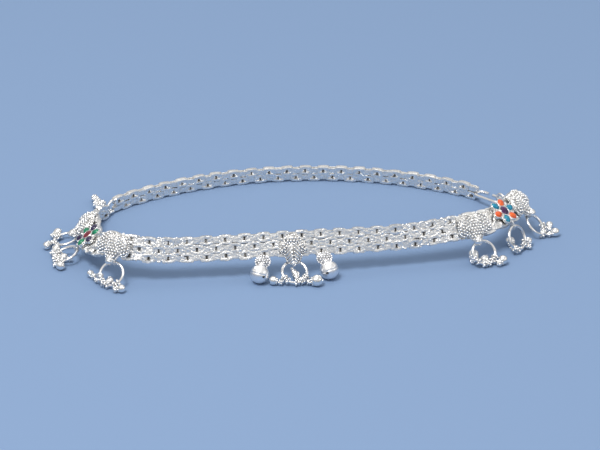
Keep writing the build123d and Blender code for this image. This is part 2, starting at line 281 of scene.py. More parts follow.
# %% The camera
VIEW_AZIMUTH = radians(-7)
VIEW_ELEVATION = radians(27)
VIEW_DISTANCE = 0.885
VIEW_TARGET = Vector((-0.76, -7.6, 6.05)) * 0.001

back = Vector((
    sin(VIEW_AZIMUTH) * cos(VIEW_ELEVATION),
    -cos(VIEW_AZIMUTH) * cos(VIEW_ELEVATION),
    sin(VIEW_ELEVATION),
))
lens = bpy.data.cameras.new("view")
lens.lens = 200
lens.clip_start = 0.01
camera = bpy.data.objects.new("view", lens)
camera.location = VIEW_TARGET + back * VIEW_DISTANCE
camera.rotation_euler = (-back).to_track_quat("-Z", "Y").to_euler()
bpy.context.collection.objects.link(camera)
bpy.context.scene.camera = camera
print("the camera stands", round(camera.location.length, 3), "m from the anklet's middle")

# %% [markdown]
# ## Silver
# The band is frosted white silver, whitened in acid and then burnished where it is touched, so it
# is bright but not a mirror. The bells and beads are polished, and the wires are drawn, so they
# shine in lines. All of them are one metal: what differs is how rough the skin is and how it is
# dented. A noise on the piece's own coordinates tints it, roughens it and dents it. A near-black
# silver is painted shade in the holes of the weave, where the inside of the band lies in shadow.
# A grey silver under the granules is painted shade between them.

# %% Silver
def ramp(nodes, low, dark, high, light):
    """A ramp from one tint at a low level to another at a high one."""
    node = nodes.new("ShaderNodeValToRGB")
    node.color_ramp.elements[0].position = low
    node.color_ramp.elements[0].color = (*dark, 1)
    node.color_ramp.elements[1].position = high
    node.color_ramp.elements[1].color = (*light, 1)
    return node


def mottled(name, scale, low, dark, high, light, strength, depth):
    """A material tinted and dented by one noise, with its shader and its noise to add to."""
    material = bpy.data.materials.new(name)
    material.use_nodes = True
    nodes, links = material.node_tree.nodes, material.node_tree.links
    shader = nodes["Principled BSDF"]
    place = nodes.new("ShaderNodeTexCoord")
    noise = nodes.new("ShaderNodeTexNoise")
    noise.inputs["Scale"].default_value = scale
    links.new(place.outputs["Object"], noise.inputs["Vector"])
    tint = ramp(nodes, low, dark, high, light)
    links.new(noise.outputs["Fac"], tint.inputs["Fac"])
    links.new(tint.outputs["Color"], shader.inputs["Base Color"])
    bump = nodes.new("ShaderNodeBump")
    bump.inputs["Strength"].default_value = strength
    bump.inputs["Distance"].default_value = depth
    links.new(noise.outputs["Fac"], bump.inputs["Height"])
    links.new(bump.outputs["Normal"], shader.inputs["Normal"])
    return material, shader, noise


def silver(name, bright, dull, shine, matt, grain, dent):
    """A silver: two tints, two roughnesses, the size of its grain in mm, and how deep it is dented."""
    material, shader, noise = mottled(name, 1000 / grain, 0.35, dull, 0.65, bright, 0.6, dent * 0.001)
    nodes, links = material.node_tree.nodes, material.node_tree.links
    shader.inputs["Metallic"].default_value = 1.0
    noise.inputs["Detail"].default_value = 3.0
    rough = nodes.new("ShaderNodeMapRange")
    rough.inputs["From Min"].default_value = 0.3
    rough.inputs["From Max"].default_value = 0.7
    rough.inputs["To Min"].default_value = matt
    rough.inputs["To Max"].default_value = shine
    links.new(noise.outputs["Fac"], rough.inputs["Value"])
    links.new(rough.outputs["Result"], shader.inputs["Roughness"])
    return material


chain_silver = silver("chain_silver", (0.97, 0.96, 0.94), (0.82, 0.80, 0.77), 0.26, 0.46, 0.6, 0.45)
bell_silver = silver("bell_silver", (0.96, 0.95, 0.95), (0.90, 0.89, 0.89), 0.28, 0.42, 2.5, 0.03)
leaf_silver = silver("leaf_silver", (0.96, 0.95, 0.93), (0.82, 0.80, 0.77), 0.16, 0.34, 0.7, 0.05)
bead_silver = silver("bead_silver", (0.95, 0.94, 0.93), (0.85, 0.84, 0.82), 0.12, 0.26, 1.6, 0.03)
wire_silver = silver("wire_silver", (0.92, 0.91, 0.90), (0.83, 0.82, 0.81), 0.10, 0.24, 1.2, 0.02)
# Near-black silver is painted shade: it darkens the holes of the weave.
hole_shade_silver = silver("hole_shade_silver", (0.20, 0.19, 0.18), (0.06, 0.06, 0.06), 0.35, 0.6, 0.8, 0.05)
# Grey silver is painted shade between the granules.
granule_shade_silver = silver("granule_shade_silver", (0.60, 0.59, 0.58), (0.32, 0.31, 0.30), 0.3, 0.5, 0.5, 0.05)
print("silvers made: chain, bell, leaf, bead, wire, blackened and greyed")

# %% [markdown]
# ## Enamel
# Each petal is a cell filled with coloured glass paste and fired, so it is glossy and pools a
# little darker and lighter. A clear coat gives the gloss, and a soft noise gives the pooling.

# %% Enamel
def enamel(name, light, deep):
    """A fired enamel of two tones of one colour."""
    material, shader, _ = mottled(name, 900, 0.3, deep, 0.7, light, 0.3, 0.00003)
    shader.inputs["Roughness"].default_value = 0.15
    shader.inputs["Specular IOR Level"].default_value = 0.1
    shader.inputs["Coat Weight"].default_value = 1.0
    shader.inputs["Coat Roughness"].default_value = 0.05
    return material


enamels = {
    "teal_enamel": enamel("teal_enamel", (0.0, 0.27, 0.42), (0.0, 0.12, 0.21)),
    "orange_enamel": enamel("orange_enamel", (0.82, 0.14, 0.02), (0.55, 0.05, 0.01)),
    "violet_enamel": enamel("violet_enamel", (0.07, 0.005, 0.10), (0.02, 0.0, 0.03)),
    "green_enamel": enamel("green_enamel", (0.0, 0.26, 0.12), (0.0, 0.10, 0.04)),
    "purple_enamel": enamel("purple_enamel", (0.025, 0.015, 0.07), (0.01, 0.005, 0.03)),
    "red_enamel": enamel("red_enamel", (0.30, 0.01, 0.03), (0.10, 0.0, 0.01)),
}
print("enamels made:", ", ".join(enamels))

# %% [markdown]
# ## Granules
# The rough sparkle of a payal is granulation: hundreds of tiny silver balls soldered side by side.
# Each could be a real sphere, but there are over a thousand, so the master has only a few dozen
# faces, and smooth shading rounds it.

# %% Granule and grain
clear_selection()
bpy.ops.mesh.primitive_uv_sphere_add(segments=8, ring_count=5, radius=1)
bpy.ops.object.mode_set(mode="EDIT")
pick("VERT", lambda p: p.z < -0.5)
stretch(1, 1, 0.6)
granule = master("granule", angle=80)

clear_selection()
bpy.ops.mesh.primitive_uv_sphere_add(segments=8, ring_count=6, radius=1, rotation=(0, pi / 2, 0))
bpy.ops.object.transform_apply(rotation=True)
bpy.ops.object.mode_set(mode="EDIT")
pick("VERT", lambda p: abs(p.x) < 0.1)
stretch(1, 0.9, 1.1)
grain = master("grain", angle=80)


def granules(places, radius):
    """Granules of one radius at places. One that would dip into the floor is raised."""
    parts = []
    for place in places:
        raised = Matrix.Translation((0, 0, max(radius - place.translation.z, 0)))
        parts.append(struck(granule, raised @ place, (radius, radius, radius)))
    return parts


def laid_grain(start, end, outward, width, height):
    """A grain that lies between two points, on a surface that faces outward."""
    return struck(grain, between(start, end, outward), ((end - start).length / 2, width / 2, height / 2))


# %% [markdown]
# ## Domes
# Leaves, petals and rosettes are stamped from sheet, as low domes with a flat back. One half of a
# ball serves them all: its open edge is filled, and each copy is stretched to its own size.

# %% Dome
clear_selection()
bpy.ops.mesh.primitive_uv_sphere_add(segments=24, ring_count=12, radius=1)
bpy.ops.object.mode_set(mode="EDIT")
pick("VERT", lambda p: p.z < -0.05)
bpy.ops.mesh.delete(type="VERT")
pick("EDGE", lambda p: abs(p.z) < 0.01)
bpy.ops.mesh.edge_face_add()
bpy.ops.mesh.select_all(action="SELECT")
bpy.ops.mesh.normals_make_consistent(inside=False)
dome = master("dome", angle=50)


def shade_under_granules(part):
    """Gives a part that lies under granules the grey silver, which paints the shade between the granules.
    """
    part.data.materials.append(granule_shade_silver)
    return part


def rise(x, y, half_width, half_height, height):
    """How high a stretched dome is above its flat back at a point."""
    return height * sqrt(max(1 - (x / half_width) ** 2 - (y / half_height) ** 2, 0))


# %% [markdown]
# ## The woven chain
# The band is three rows of oval links. Between two ovals of a row runs a connector, a link that
# stands on edge and holds one oval at each end, so only the upper and lower arc of each oval shows,
# with a small waisted hole at its middle. Every second row is shifted by half a link, and its arcs
# press into the waists of the connectors beside them. A torus is the natural start for both: its
# two halves are pulled apart, its corners are filled out, and its skin is flattened and deepened
# where it comes to the front.

# %% Oval link
OVAL_HEIGHT = 2.8
OVAL_LENGTH = 3.9
OVAL_WIRE = 0.5
OVAL_DEPTH = 0.88

clear_selection()
bpy.ops.mesh.primitive_torus_add(
    major_segments=20, minor_segments=8, major_radius=OVAL_HEIGHT / 2 - OVAL_WIRE, minor_radius=OVAL_WIRE)
bpy.ops.object.mode_set(mode="EDIT")
end_middle = (OVAL_LENGTH - OVAL_HEIGHT) / 2
for side in (-1, 1):
    pick("VERT", lambda p: p.x * side > 0.05)
    bpy.ops.transform.translate(value=(side * end_middle, 0, 0))
for turn, widening, heightening in ((54, 1.10, 1.10), (36, 1.07, 1.14)):
    pick("VERT", lambda p: abs(atan2(abs(p.y), abs(p.x) - end_middle) - radians(turn)) < radians(5))
    stretch(widening, heightening, 1)
pick("VERT", lambda p: 0.6 * OVAL_WIRE < abs(p.z) < 0.9 * OVAL_WIRE)
stretch(1, 1, 1.3)
pick("VERT", lambda p: abs(p.x) < 1.75)
stretch(1, 1, OVAL_DEPTH / OVAL_WIRE)
oval = master("oval")

# %% Connector
PITCH = 5.0
CONNECTOR_LENGTH = PITCH - 0.2
CONNECTOR_THICKNESS = 1.6
CONNECTOR_WIRE = 0.35
CONNECTOR_HEIGHT = 1.8
CONNECTOR_PROFILE = [
    (0.00, 0.96, 0.90),
    (0.78, 1.00, 1.02),
    (1.57, 0.72, 0.96),
]

clear_selection()
bpy.ops.mesh.primitive_torus_add(
    major_segments=16, minor_segments=8, rotation=(pi / 2, 0, 0),
    major_radius=CONNECTOR_THICKNESS / 2 - CONNECTOR_WIRE, minor_radius=CONNECTOR_WIRE)
bpy.ops.object.transform_apply(rotation=True)
bpy.ops.object.mode_set(mode="EDIT")
for side in (-1, 1):
    pick("VERT", lambda p: p.x * side > 0.05)
    bpy.ops.transform.translate(value=(side * (CONNECTOR_LENGTH - CONNECTOR_THICKNESS) / 2, 0, 0))
pick("EDGE", lambda p: 0.6 < abs(p.x) < 0.95)
bpy.ops.mesh.subdivide(number_cuts=1)
pick("VERT", lambda p: 0.6 * CONNECTOR_WIRE < abs(p.y) < 0.9 * CONNECTOR_WIRE)
stretch(1, 1.28, 1)
bpy.ops.mesh.select_all(action="SELECT")
stretch(1, CONNECTOR_HEIGHT / 2 / CONNECTOR_WIRE, 1)
for reach, height, depth in CONNECTOR_PROFILE:
    pick("VERT", lambda p: abs(abs(p.x) - reach) < 0.1)
    stretch(1, height, depth)
pick("VERT", lambda p: abs(p.x) > 1.67)
stretch(1, 0.7, 0.94)
connector = master("connector")

# %% [markdown]
# ## Weaving
# A row is laid by walking along the route one link at a time. Hand-woven links never sit quite
# true, so each one is turned and shifted a hair, by a seeded draw that is the same each time.
# A low near-black lens sits at the middle of each link, so each hole shows painted shade where
# the inside of the band lies in shadow. Where the links are crowded, little wire ends show all
# round the holes.

# %% The woven runs
WIDE_ROWS = [(-2.1, 0.5), (0.0, 0.0), (2.2, 0.5)]
NARROW_ROWS = [(-0.95, 0.0), (0.95, 0.5)]
CALM_REACH = 22.0
CROWDED_REACH = 34.0
BACK_CROWDING = 0.25
KNOT_CROWDING = 0.5
LINK_TURN = 3.5
LINK_SHIFT = 0.05
CROWDED_SHIFT = 0.1
OVAL_ROLL = 5
CONNECTOR_ROLL = 3
KNOT_ENDS = 9
KNOT_REACH = (1.3, 1.0)
KNOT_HEIGHTS = (0.4, 0.65)
KNOT_RADII = (0.28, 0.42)
# The size of the near-black lens in each hole, which paints the shade inside the band.
HOLE_SHADE_SIZE = (1.2, 0.7, 0.2)


def crowding(station):
    """How askew the links sit: 0 on the straight front, 1 beside the leaves, a little behind."""
    reach = abs(signed(station))
    if reach > BAND_END:
        return BACK_CROWDING
    return min(max((reach - CALM_REACH) / (CROWDED_REACH - CALM_REACH), 0), 1)


def uneven(askew, roll):
    """A turn and shift off true, and a roll about the chain's own line."""
    turn = LINK_TURN + LINK_TURN * askew
    shift = LINK_SHIFT + CROWDED_SHIFT * askew
    turned = Matrix.Rotation(radians(random.uniform(-turn, turn)), 4, "Z")
    rolled = Matrix.Rotation(radians(roll * askew + random.uniform(-turn, turn)), 4, "X")
    moved = Matrix.Translation((random.uniform(-shift, shift), random.uniform(-shift, shift), 0))
    return moved @ turned @ rolled


def knot(place):
    """The little wire ends that show round a hole where the links are crowded."""
    parts = []
    for _ in range(KNOT_ENDS):
        turn = random.uniform(0, 2 * pi)
        x, y = KNOT_REACH
        spot = Vector((x * cos(turn), y * sin(turn), random.uniform(*KNOT_HEIGHTS)))
        parts += granules([shifted(place, *spot)], random.uniform(*KNOT_RADII))
    return parts


def woven(node, start, end, rows, narrowing=1.0, lead=0.0):
    """The links of one run of chain, from station start to end."""
    parts = []
    for up, shift in rows:
        for number in range(ceil((start - lead) / PITCH - shift) - 1, ceil((end - lead) / PITCH)):
            station = lead + (number + shift) * PITCH
            for model, at, roll in (
                    (oval, station, OVAL_ROLL), (connector, station + PITCH / 2, CONNECTOR_ROLL)):
                if start <= at < end:
                    askew = crowding(at)
                    place = face(at, up=up) @ uneven(askew, roll)
                    parts.append(struck(model, place, (1, narrowing, 1)))
                    if askew > KNOT_CROWDING:
                        parts += knot(face(at, up=up))
                    # A near-black lens at the middle of each link paints the shade in its hole.
                    length, height, depth = HOLE_SHADE_SIZE
                    hole_shade = struck(granule, face(at, up=up), (length, height * narrowing, depth))
                    hole_shade.data.materials.append(hole_shade_silver)
                    parts.append(hole_shade)
    return soldered(node + "_links", parts, chain_silver, "chain_silver", node)


EYE_STATION = 80.0
TASSEL_STATION = 86.0
BAND_SPLIT = 37.0
BAND_END = 71.0
HOOK_END = 89.7
LINK_RING_RADIUS = 1.7
RING_WIRE = 0.4
RING_REACH = LINK_RING_RADIUS + RING_WIRE
NARROWING = 0.88
BACK_END = LOOP_LENGTH - TASSEL_STATION - RING_REACH
BACK_MIDDLE = (HOOK_END + BACK_END) / 2

woven("front_chain", -BAND_SPLIT, BAND_SPLIT, WIDE_ROWS)
woven("right_chain", BAND_SPLIT, BAND_END, WIDE_ROWS)
woven("left_chain", -BAND_END, -BAND_SPLIT, WIDE_ROWS)
woven("right_end_chain", BAND_END, EYE_STATION - RING_REACH, NARROW_ROWS, NARROWING, BAND_END + 0.5)
woven(
    "left_end_chain", -TASSEL_STATION + RING_REACH, -BAND_END,
    NARROW_ROWS, NARROWING, -TASSEL_STATION + 4.0)
woven("back_chain_right", HOOK_END, BACK_MIDDLE, NARROW_ROWS, NARROWING, HOOK_END + 1.5)
woven("back_chain_left", BACK_MIDDLE, BACK_END, NARROW_ROWS, NARROWING, HOOK_END + 1.5)

# %% [markdown]
# ## Wire loops and balls
# A bead is a ball pressed in two halves, with a fine seam where they meet. A cap of granules covers
# the end where its wire goes in, and there is a small hole in its far end. A ball with a bevelled,
# pressed-in equator gives the seam, and faces pushed in at the pole give the hole.

# %% Loop and ball masters
LOOP_RADIUS = 0.7
LOOP_WIRE = 0.2
CAP_ANGLE = radians(36)
CAP_GRANULES = 7
CAP_REACH = 0.96
CAP_GRANULE = 0.22

clear_selection()
bpy.ops.mesh.primitive_torus_add(
    major_segments=20, minor_segments=8, major_radius=LOOP_RADIUS, minor_radius=LOOP_WIRE)
loop = master("loop")

clear_selection()
bpy.ops.mesh.primitive_uv_sphere_add(segments=20, ring_count=12, radius=1)
bpy.ops.object.mode_set(mode="EDIT")
pick("EDGE", lambda p: abs(p.z) < 0.01)
bpy.ops.mesh.bevel(offset=0.05, segments=2)
pick("VERT", lambda p: abs(p.z) < 0.01)
stretch(0.965, 0.965, 1)
pick("FACE", lambda p: p.z < -0.97)
bpy.ops.mesh.extrude_region_move(TRANSFORM_OT_translate={"value": (0, 0, 0.25)})
stretch(0.8, 0.8, 1, centre=(0, 0, -0.7))
ball = master("ball", angle=50)


def capped_ball(centre, before, radius):
    """A ball whose cap of granules points to where its wire comes from."""
    place = aimed(centre, before - centre)
    parts = [struck(ball, place, (radius,) * 3)]
    collar = shifted(place, z=radius * 0.93)
    parts.append(struck(loop, collar, (0.5 * radius, 0.5 * radius, 0.5)))
    for turn in around(CAP_GRANULES):
        out = Vector((sin(CAP_ANGLE) * cos(turn), sin(CAP_ANGLE) * sin(turn), cos(CAP_ANGLE)))
        parts += granules([shifted(place, *(out * radius * CAP_REACH))], CAP_GRANULE * radius)
    return parts


def spacer(centre, before, radius):
    """A small bead built of a ring of granules between two collars."""
    place = aimed(centre, before - centre)
    parts = [struck(ball, place, (radius * 0.62, radius * 0.62, radius * 0.8))]
    for turn in around(CAP_GRANULES):
        side = Vector((cos(turn), sin(turn), 0)) * radius * 0.66
        parts += granules([shifted(place, *side)], radius * 0.34)
    for end in (-1, 1):
        collar = shifted(place, z=end * radius * 0.55)
        parts.append(struck(loop, collar, (0.75 * radius, 0.75 * radius, 0.7)))
    return parts


# %% [markdown]
# ## The ribbed cone
# The middle drop of the front ring starts with a small cone of ribs, and two plain balls follow it.
# A disc is extruded again and again, wider and narrower by turns, which leaves ribs up the cone.

# %% Cone and pin masters
clear_selection()
bpy.ops.mesh.primitive_circle_add(vertices=20, radius=1, fill_type="NGON", location=(0, 0, -1))
bpy.ops.object.mode_set(mode="EDIT")
bpy.ops.mesh.select_all(action="SELECT")
bpy.ops.mesh.flip_normals()
height = -1.0
for wide, narrow in ((1.0, 0.84), (0.92, 0.74), (0.82, 0.62), (0.68, 0.48), (0.52, 0.3)):
    for step, radius in ((0.14, wide), (0.14, wide), (0.1, narrow)):
        bpy.ops.mesh.select_mode(type="FACE")
        bpy.ops.mesh.extrude_region_move(TRANSFORM_OT_translate={"value": (0, 0, step)})
        height += step
        mesh = bpy.context.edit_object.data
        shape = bmesh.from_edit_mesh(mesh)
        now = max(v.co.xy.length for v in shape.verts if v.select)
        stretch(radius / now, radius / now, 1, centre=(0, 0, height))
bpy.ops.mesh.select_all(action="SELECT")
bpy.ops.mesh.normals_make_consistent(inside=False)
cone = master("cone", angle=70)

clear_selection()
bpy.ops.mesh.primitive_cylinder_add(vertices=10, radius=1, depth=2, rotation=(0, pi / 2, 0))
bpy.ops.object.transform_apply(rotation=True)
bpy.ops.object.mode_set(mode="EDIT")
pick("FACE", lambda p: abs(p.x) > 0.99)
bpy.ops.mesh.inset(thickness=0.2)
pin = master("pin")


def laid_pin(start, end, radius):
    """A wire pin from one point to another."""
    way = end - start
    return struck(pin, between(start, end, way.orthogonal()), (way.length / 2, radius, radius))


# %% [markdown]
# ## Rings and drops
# Each ornament carries a jump ring in a bail, and the ring lies out from the band until it rests on
# the loops of its drops. The same rule places the drops here as in the frame.

# %% Drops
RING_RADIUS = 3.2
HALF_BAND_WIDTH = 3.5
HALF_BAND_DEPTH = 0.9
GAP = 0.15
BAIL_DROP = HALF_BAND_WIDTH + GAP + LOOP_RADIUS + LOOP_WIRE
BAIL_OUT = 0.2
PIN_RADIUS = 0.24
BUNCH_TURN = 13
BUNCH_REACH = 0.68
BUNCH_GRANULE = 0.42
BUNCH_GRANULES = 5
SPACER_LIMIT = 1.0


def swing_to_floor(top):
    """The angle from upright at which a ring rests on the loops round its lowest wire, in degrees."""
    return acos((top.z - LOOP_RADIUS - LOOP_WIRE) / (2 * RING_RADIUS)) * 180 / pi


def ring_point(hang, angle):
    """The middle of a ring's wire, and the way it runs, at an angle from the ring's bottom."""
    turn = radians(angle)
    along, upward = hang.col[0].xyz, hang.col[1].xyz
    centre = hang.translation - upward * RING_RADIUS
    point = centre + (along * sin(turn) - upward * cos(turn)) * RING_RADIUS
    return point, along * cos(turn) + upward * sin(turn)


def strung(places, radii, start, make):
    """Beads at places, joined by pins, from a starting point."""
    parts = []
    before = start
    for place, radius in zip(places, radii):
        parts.append(laid_pin(before, place, PIN_RADIUS))
        parts += make(place, before, radius)
        before = place
    return parts


def drop_bead(place, before, radius):
    """A bead of a drop: a small one is a spacer, and a large one is a capped ball."""
    if radius < SPACER_LIMIT:
        return spacer(place, before, radius)
    return capped_ball(place, before, radius)


def bunch(hang, angle):
    """Granules crowded round a ring's wire at an angle from its bottom."""
    point, wire = ring_point(hang, angle)
    place = aimed(point, wire)
    spots = [
        shifted(place, BUNCH_REACH * cos(turn), BUNCH_REACH * sin(turn))
        for turn in around(BUNCH_GRANULES)]
    return granules(spots, BUNCH_GRANULE)


def drop(name, station, hang, angle, beads, make=drop_bead):
    """One drop, looped round its ring's wire. Beads are rows of (along, outward, height, radius)."""
    point, wire = ring_point(hang, angle)
    places = [ground(station, *row[:3]) for row in beads]
    lead = places[0] - point
    lead = (lead - wire * lead.dot(wire)).normalized()
    parts = [struck(loop, axes(point, -lead, wire.cross(-lead)))]
    parts += strung(places, [row[3] for row in beads], point + lead * LOOP_RADIUS, make)
    for beside in (-BUNCH_TURN, BUNCH_TURN):
        parts += bunch(hang, angle + beside)
    soldered(name + "_beads", parts, bead_silver, "bead_silver", name)


def cone_bead(place, before, radius):
    """The middle drop's beads: a ribbed cone, then plain balls."""
    model = cone if radius > SPACER_LIMIT else ball
    return [struck(model, aimed(place, before - place), (radius,) * 3)]


def bail_place(station, standoff):
    """The middle of the bail below an ornament that stands off the band."""
    return face(station, up=-BAIL_DROP, out=standoff + BAIL_OUT)


def bail_loop(bail):
    """The wire loop of a bail."""
    return struck(loop, axes(bail.translation, bail.col[1].xyz, bail.col[2].xyz))


def hang_of(station, standoff):
    """The hanging place of the ring in a bail, swung out until it rests."""
    top = bail_place(station, standoff).translation
    return hanging(station, top, swing_to_floor(top))


front_hang = hang_of(0, GAP)
drop("centre_strand_left", 0, front_hang, -52, [(-3.9, 6.6, 0.95, 0.9), (-5.7, 5.9, 1.2, 1.2)])
drop("centre_strand_middle", 0, front_hang, 12,
     [(0.5, 5.0, 1.3, 1.15), (0.0, 3.5, 2.0, 0.85), (-0.4, 2.5, 2.5, 0.5)], cone_bead)
drop("centre_strand_right", 0, front_hang, 48, [(3.5, 7.4, 0.95, 0.9), (5.5, 7.9, 1.55, 1.55)])

RIGHT_LEAF_STATION = 48.3
LEFT_LEAF_STATION = 46.2
FLOWER_STATION = 58.5
OUTER_LEAF_STATION = 67.2
SIDE_BAIL_SHIFT = 1.0
SIDE_STANDOFF = 0.6
FLOWER_BAIL = 0.4
SIDE_DROPS = [
    ("right_inner", RIGHT_LEAF_STATION + SIDE_BAIL_SHIFT, SIDE_STANDOFF, [
        ("left", -62, [(-2.9, -3.1, 0.9, 0.85), (-1.6, -5.0, 1.5, 1.5)]),
        ("middle", -8, [(0.0, -1.95, 1.2, 1.2), (1.2, -3.3, 0.9, 0.85)]),
        ("right", 42, [(2.6, 1.3, 0.9, 0.85), (4.1, 0.6, 1.3, 1.3)]),
    ]),
    ("left_inner", -LEFT_LEAF_STATION + SIDE_BAIL_SHIFT, SIDE_STANDOFF, [
        ("left", -62, [(-4.1, -1.5, 0.9, 0.85), (-5.6, -2.8, 1.0, 0.95), (-7.1, -3.8, 1.0, 1.0)]),
        ("middle", -15, [(-0.4, -1.9, 1.1, 1.1), (-1.2, -3.4, 0.9, 0.85)]),
        ("right", 42, [(2.7, 1.2, 0.9, 0.85), (4.1, 0.4, 1.1, 1.1)]),
    ]),
    ("right_flower", FLOWER_STATION, FLOWER_BAIL, [
        ("left", -40, [(-0.8, -2.2, 0.9, 0.85), (1.1, -4.2, 1.35, 1.35)]),
        ("right", 40, [(2.4, 0.9, 0.9, 0.85), (4.2, -0.6, 1.2, 1.2)]),
    ]),
    ("left_flower", -FLOWER_STATION, FLOWER_BAIL, [
        ("left", -52, [(-3.4, 0.3, 0.9, 0.85), (-5.0, -0.9, 1.2, 1.2)]),
        ("middle", -8, [(0.2, -2.3, 1.2, 1.2), (0.8, -3.9, 0.9, 0.85)]),
        ("right", 48, [(3.2, 0.4, 0.9, 0.85), (4.6, -0.9, 1.2, 1.2)]),
    ]),
    ("right_outer", OUTER_LEAF_STATION, SIDE_STANDOFF, [
        ("left", -10, [(-0.3, 1.6, 0.9, 0.85), (0.8, 3.0, 1.2, 1.2)]),
        ("right", 45, [(2.9, 0.7, 0.9, 0.85), (4.4, 0.5, 1.1, 1.1)]),
    ]),
    ("left_outer", -OUTER_LEAF_STATION, SIDE_STANDOFF, [
        ("left", -50, [(-3.3, 0.3, 0.9, 0.85), (-4.5, -0.9, 1.2, 1.2)]),
        ("right", 25, [(1.3, 1.4, 0.9, 0.85), (2.9, 1.7, 1.1, 1.1)]),
    ]),
]
for motif, station, standoff, drops in SIDE_DROPS:
    hang = hang_of(station, standoff)
    bottom = ring_point(hang, 0)[0] - ground(station, 0, 0, 0)
    beyond = bottom.dot(ahead_and_away(station)[1])
    for name, angle, beads in drops:
        moved = [(along, outward + beyond, height, radius) for along, outward, height, radius in beads]
        drop(f"{motif}_strand_{name}", station, hang, angle, moved)

# %% [markdown]
# ## Leaves
# The front leaf is a granulated crown with two small ears, and a long tongue below them with nested
# chevrons pressed into it. The side leaves are fans of three lobes, covered all over with granules.
# A small ball closes the tip of each. Domes make the lobes, grains make the ribs, and granules sit on
# the domes in a close pattern.

# %% Leaves
# A lobe is a row of (x, y, half width, half height, turn, ribbed), hung from the middle of the leaf's
# top edge, in shares of the leaf's width and height.
FAN_LOBES = [
    (0, -0.52, 0.24, 0.42, 0, False),
    (-0.26, -0.38, 0.2, 0.36, -28, False),
    (0.26, -0.38, 0.2, 0.36, 28, False),
]
FRONT_LOBES = [
    (0, -0.18, 0.34, 0.18, 0, False),
    (-0.36, -0.40, 0.13, 0.20, -20, False),
    (0.36, -0.40, 0.13, 0.20, 20, False),
    (0, -0.59, 0.36, 0.38, 0, True),
]
FRONT_TONGUE = 0.35
LEAF_GRANULE = 0.37
DOME_SHARE = 0.9
CHEVRONS = 5
RIB_WIDTH = 0.72
RIB_HEIGHT = 0.8
RIB_SLOPE = 1.1


def lobe_places(place, width, height, rows):
    """The place of each lobe with its half sizes, and whether it is ribbed."""
    for x, y, half_width, half_height, turn, ribbed in rows:
        spot = shifted(place, x * width, y * height, FRONT_TONGUE if ribbed else 0)
        turned = spot @ Matrix.Rotation(radians(turn), 4, "Z")
        yield turned, half_width * width, half_height * height, ribbed


def edging(place, half_width, half_height, radius):
    """Granules round the foot of a dome, side by side."""
    count = round(2 * pi * sqrt((half_width ** 2 + half_height ** 2) / 2) / (2.05 * radius))
    spots = [
        shifted(place, half_width * cos(turn), half_height * sin(turn), radius)
        for turn in around(count)]
    return granules(spots, radius)


def covering(place, half_width, half_height, height, radius):
    """Granules all over a dome, in rows like a honeycomb."""
    places = []
    step = 2.25 * radius
    row = 0
    y = -half_height
    while y < half_height:
        x = -half_width + (step / 2 if row % 2 else 0)
        while x < half_width:
            if (x / half_width) ** 2 + (y / half_height) ** 2 < 0.92:
                stray = Vector((random.uniform(-1, 1), random.uniform(-1, 1), random.uniform(-1, 1))) * 0.12
                spot = Vector((x, y, rise(x, y, half_width, half_height, height))) + stray * radius
                places.append(shifted(place, *spot))
            x += step
        y += step * 0.87
        row += 1
    return granules(places, radius)


def chevrons(place, half_width, half_height, height):
    """Pairs of ribs that meet on the middle line and run down and out to the dome's edge."""
    parts = []
    outward = place.col[2].xyz
    for number in range(CHEVRONS):
        y = half_height * (0.9 - 1.35 * number / (CHEVRONS - 1))
        reach = half_width
        while (reach / half_width) ** 2 + ((y - reach * RIB_SLOPE) / half_height) ** 2 > 1:
            reach -= 0.05
        for side in (-1, 1):
            foot_y = y - reach * RIB_SLOPE
            head = Vector((side * 0.1, y, rise(0, y, half_width, half_height, height) + 0.05))
            foot_rise = rise(side * reach, foot_y, half_width, half_height, height)
            foot = Vector((side * reach, foot_y, foot_rise + 0.1))
            parts.append(laid_grain(place @ head, place @ foot, outward, RIB_WIDTH, RIB_HEIGHT))
    return parts


def lobe(place, half_width, half_height, height, ribbed, skirted):
    """A finished lobe: ribbed, or covered with granules. A skirt is a second edge behind the first."""
    # The dome under the granules is grey silver: painted shade between the granules.
    parts = [shade_under_granules(struck(dome, place, (half_width, half_height, height)))]
    if ribbed:
        parts += chevrons(place, half_width, half_height, height)
        parts += edging(place, half_width, half_height, 0.2)
        return parts
    parts += covering(place, half_width, half_height, height, LEAF_GRANULE)
    parts += edging(place, half_width, half_height, 0.24)
    if skirted:
        parts += edging(shifted(place, z=-0.4), half_width * 0.97, half_height * 0.97, 0.3)
    return parts


def leaf(name, station, width, height, thickness, top, standoff, shift, rows):
    """A finished leaf before the band, with its bail, which may be shifted to one side."""
    place = face(station, up=top, out=HALF_BAND_DEPTH + standoff)
    parts = []
    for spot, half_width, half_height, ribbed in lobe_places(place, width, height, rows):
        parts += lobe(spot, half_width, half_height, thickness * DOME_SHARE, ribbed, rows is FAN_LOBES)
    tip = place @ Vector((0, -0.92 * height, thickness * 0.5))
    parts += capped_ball(tip, tip + place.col[1].xyz, 0.13 * width)
    parts.append(bail_loop(bail_place(station + shift, standoff)))
    soldered(name + "_stamped", parts, leaf_silver, "leaf_silver", name)


# Rows of (name, station, width, height, thickness, top, standoff, the bail's shift, lobes).
LEAVES = [
    ("centre_leaf", 0, 6.4, 8.0, 1.1, 2.4, GAP, 0.0, FRONT_LOBES),
    ("right_inner_leaf", RIGHT_LEAF_STATION, 9.6, 8.4, 1.1, 3.3, SIDE_STANDOFF, SIDE_BAIL_SHIFT, FAN_LOBES),
    ("left_inner_leaf", -LEFT_LEAF_STATION, 9.6, 8.4, 1.1, 3.3, SIDE_STANDOFF, SIDE_BAIL_SHIFT, FAN_LOBES),
    ("right_outer_leaf", OUTER_LEAF_STATION, 9.0, 9.0, 1.6, 3.6, SIDE_STANDOFF, 0.0, FAN_LOBES),
    ("left_outer_leaf", -OUTER_LEAF_STATION, 9.0, 9.0, 1.6, 3.6, SIDE_STANDOFF, 0.0, FAN_LOBES),
]
for row in LEAVES:
    leaf(*row)

